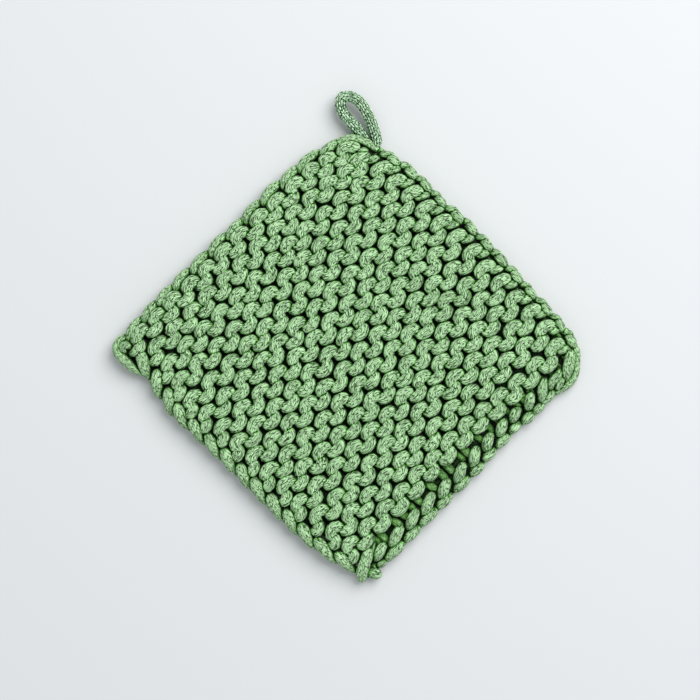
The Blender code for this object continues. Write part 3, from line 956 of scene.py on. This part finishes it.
def loopYarn():
    frames = routeFrames(smoothRoute(hangingLoop["route"], hangingLoop["routeSteps"]))
    wales = hangingLoop["wales"]
    pitch = hangingLoop["rowPitch"]
    stitches = int((frames[-1][0] - pitch) / pitch * wales)
    yarn = []
    for step in range(stitches * hangingLoop["steps"]):
        turn = step / hangingLoop["steps"]  # counts stitches round the tube
        t = 2 * math.pi * turn
        angle = 2 * math.pi / wales * (turn + hangingLoop["overlap"] * math.sin(2 * t))
        climb = pitch * (turn / wales + 0.5 - 0.5 * hangingLoop["loopHeight"] * math.cos(t))
        radius = hangingLoop["radius"] - hangingLoop["crown"] * math.cos(2 * t)
        place, across, up = frameAt(frames, max(0.0, climb))
        spot = place + radius * (math.cos(angle) * across + math.sin(angle) * up)
        yarn.append((*spot, hangingLoop["yarn"]))
    return yarn


# the pieces
rng = random.Random(square["seed"])
courses = [coursePath(course, rng) for course in range(2 * square["ridges"])]
perPiece = len(courses) // square["groups"]
pieces = []
for group in range(square["groups"]):
    part = courses[group * perPiece:(group + 1) * perPiece]
    pieces.append(makeCords(f"knittedRidges{group + 1}", part, squareCotton))
sides = [edgePath("leftEdge", rng), edgePath("rightEdge", rng)]
castOn = [edgePath("upperEdge", rng)]
legs, strands = bindOffLegs(rng)
turns = [path for paths in corners.values() for path in paths]
for name, paths, cotton in (
    ("sideEdges", sides, edgeCotton), ("castOnEdge", castOn, edgeCotton),
    ("bindOffEdge", [bindOffPath()], edgeCotton), ("bindOffLoops", legs, innerCotton),
    ("bindOffBack", strands, hiddenCotton), ("cornerStitches", turns, edgeCotton),
):
    pieces.append(makeCords(name, paths, cotton))

corePath = [(*point, hangingLoop["core"]) for point in hangingLoop["route"]]
loopPieces = []
for name, path, build in (
    ("hangingLoopKnit", loopYarn(), "knitBuild"), ("hangingLoopCore", corePath, "coreBuild"),
):
    changes = {**hangingLoop[build], **hangingLoop["unpressed"]}
    loopPieces.append(makeCords(name, [path], loopCotton, changes))
shelterPieces(pieces + loopPieces)


# the camera looks straight down, at the photo's scale
view = {
    "pixels": 700,
    "pixelsPerMm": 1.72,
    "originPixel": (353.4, 351.6),  # where the middle of the square shows
    "imageRight": (0.725, -0.688),  # the picture's right, in x and y
    "distance": 1.5,  # metres
    "sensor": 36.0,
    "clip": (0.01, 20.0),
}


def makeCamera():
    data = bpy.data.cameras.new("camera")
    camera = bpy.data.objects.new("camera", data)
    bpy.context.scene.collection.objects.link(camera)
    bpy.context.scene.camera = camera
    across = view["pixels"] / view["pixelsPerMm"] * mm
    data.sensor_width = view["sensor"]
    data.lens = view["sensor"] * view["distance"] / across
    right = Vector((*view["imageRight"], 0.0)).normalized()
    up = Vector((0.0, 0.0, 1.0)).cross(right)
    dx = (view["pixels"] / 2 - view["originPixel"][0]) / view["pixelsPerMm"] * mm
    dy = (view["originPixel"][1] - view["pixels"] / 2) / view["pixelsPerMm"] * mm
    spot = right * dx + up * dy
    camera.location = (spot.x, spot.y, view["distance"])
    camera.rotation_euler = (0.0, 0.0, math.atan2(right.y, right.x))
    data.clip_start, data.clip_end = view["clip"]


makeCamera()
print("camera set")

# a plain pale floor and one soft light, sizes in metres
studio = {
    "floorSize": 6.0,
    "floorDrop": 0.0002,
    "floorRoughness": 0.6,
    "floorColour": (0.675, 0.685, 0.69),
    "worldColour": (0.93, 0.97, 1.0),
    "worldStrength": 0.60,
    "lightFrom": (1.28, 0.15, 1.70),
    "lightSize": 1.9,
    "lightPower": 43.0,
}


def makeStudio():
    below = (0.0, 0.0, -studio["floorDrop"])
    bpy.ops.mesh.primitive_plane_add(size=studio["floorSize"], location=below)
    floor = bpy.context.object
    floor.name = "floor"
    plain = bpy.data.materials.new("palePlain")
    plain.use_nodes = True
    shader = plain.node_tree.nodes["Principled BSDF"].inputs
    shader["Base Color"].default_value = (*studio["floorColour"], 1.0)
    shader["Roughness"].default_value = studio["floorRoughness"]
    floor.data.materials.append(plain)
    world = bpy.data.worlds.new("studio")
    world.use_nodes = True
    back = world.node_tree.nodes["Background"].inputs
    back["Color"].default_value = (*studio["worldColour"], 1.0)
    back["Strength"].default_value = studio["worldStrength"]
    bpy.context.scene.world = world
    data = bpy.data.lights.new("softLight", "AREA")
    data.shape = "DISK"
    data.size = studio["lightSize"]
    data.energy = studio["lightPower"]
    lamp = bpy.data.objects.new("softLight", data)
    lamp.location = studio["lightFrom"]
    lamp.rotation_euler = (-Vector(studio["lightFrom"])).to_track_quat("-Z", "Y").to_euler()
    bpy.context.scene.collection.objects.link(lamp)
    bpy.context.scene.view_settings.view_transform = "Standard"


makeStudio()
print("studio lit")

for piece in pieces:
    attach(piece, "root")
    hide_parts("knitted_square")
for piece in loopPieces:
    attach(piece, "root")
    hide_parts("hanging_loop")
